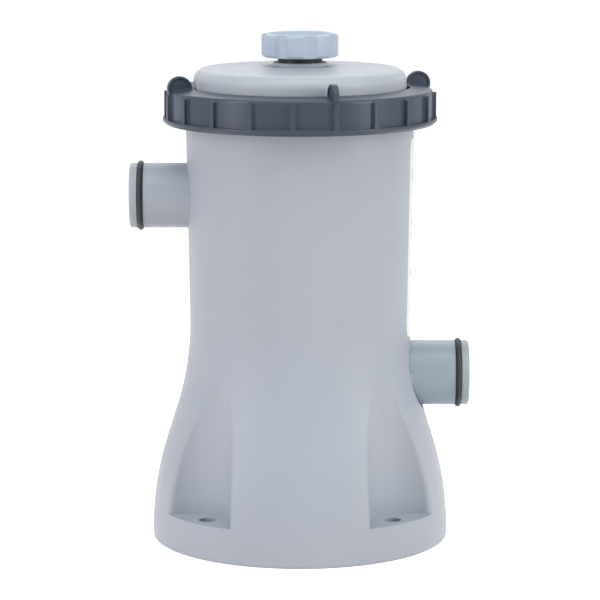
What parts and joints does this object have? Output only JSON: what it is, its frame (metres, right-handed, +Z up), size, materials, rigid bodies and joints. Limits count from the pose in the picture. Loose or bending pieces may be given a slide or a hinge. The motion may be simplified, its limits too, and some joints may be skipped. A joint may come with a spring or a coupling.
{
  "type": "pool filter pump",
  "caption": "Cartridge filter pump for a small pool: bell base, canister, domed lid under a threaded ring, inlet and outlet hose stubs.",
  "frame": {"origin": "middle of the bell base on the ground", "axes": "+Z up along the canister, -X along the inlet stub, +X along the outlet stub, -Y towards the viewer"},
  "size_m": [0.2, 0.1754, 0.2992],
  "materials": {
    "housing_plastic": "light grey, fine satin",
    "lid_plastic": "light grey, fine satin",
    "ring_plastic": "dark slate, satin",
    "casing_plastic": "blue-grey, satin",
    "knob_plastic": "light blue-grey, semi-gloss",
    "black_rubber": "matt",
    "cap_plastic": "blue, soft",
    "media_cloth": "white pleated",
    "core_plastic": "white, satin",
    "motor_plastic": "black-grey, satin",
    "can_plastic": "dark grey",
    "screw_steel": "stainless",
    "lamination_steel": "oiled",
    "copper_wire": "enamelled",
    "ceramic": "polished",
    "magnet_ferrite": "ground"
  },
  "bodies": {
    "housing": {"filter_housing": "housing_plastic", "inlet_o_ring": "black_rubber", "lid_seal": "black_rubber", "cartridge_bottom_cap": "cap_plastic", "cartridge_top_cap": "cap_plastic", "cartridge_media": "media_cloth", "cartridge_core": "core_plastic", "pump_casing": "casing_plastic", "outlet_o_ring": "black_rubber", "casing_gasket": "black_rubber", "casing_screws": "screw_steel", "motor_housing": "motor_plastic", "motor_screws": "screw_steel", "cord_gland": "black_rubber", "rotor_can": "can_plastic", "can_o_ring": "black_rubber", "stator_core": "lamination_steel", "stator_windings": "copper_wire", "bearing_plate": "can_plastic", "upper_bearing": "ceramic", "lower_bearing": "ceramic", "upper_thrust_washer": "ceramic", "lower_thrust_washer": "ceramic"},
    "lid": {"lid": "lid_plastic"},
    "locking_ring": {"locking_ring": "ring_plastic"},
    "air_valve_seal": {"air_valve_seal": "black_rubber"},
    "air_valve": {"air_valve": "knob_plastic"},
    "rotor": {"impeller": "casing_plastic", "rotor_shaft": "ceramic", "rotor_magnet": "magnet_ferrite"}
  },
  "joints": [
    {"name": "lid_lift", "type": "slide", "parent": "housing", "child": "lid", "axis": [0, 0, 1], "range_m": [0, 0.03]},
    {"name": "ring_turn", "type": "hinge", "parent": "lid", "child": "locking_ring", "pos_m": [0, 0, 0.257], "axis": [0, 0, 1], "range_deg": [0, 540]},
    {"name": "air_valve_rise", "type": "slide", "parent": "lid", "child": "air_valve_seal", "axis": [0, 0, 1], "range_m": [0, 0.005]},
    {"name": "air_valve_turn", "type": "hinge", "parent": "air_valve_seal", "child": "air_valve", "pos_m": [0, 0, 0.29], "axis": [0, 0, 1], "range_deg": [0, 720]},
    {"name": "impeller_spin", "type": "hinge", "parent": "housing", "child": "rotor", "pos_m": [0, 0, 0.09], "axis": [0, 0, 1], "continuous": true}
  ],
  "couplings": [
    {"joint": "lid_lift", "follows": "ring_turn", "m_per_rad": 0.0031831},
    {"joint": "air_valve_rise", "follows": "air_valve_turn", "m_per_rad": 0.00039788}
  ]
}
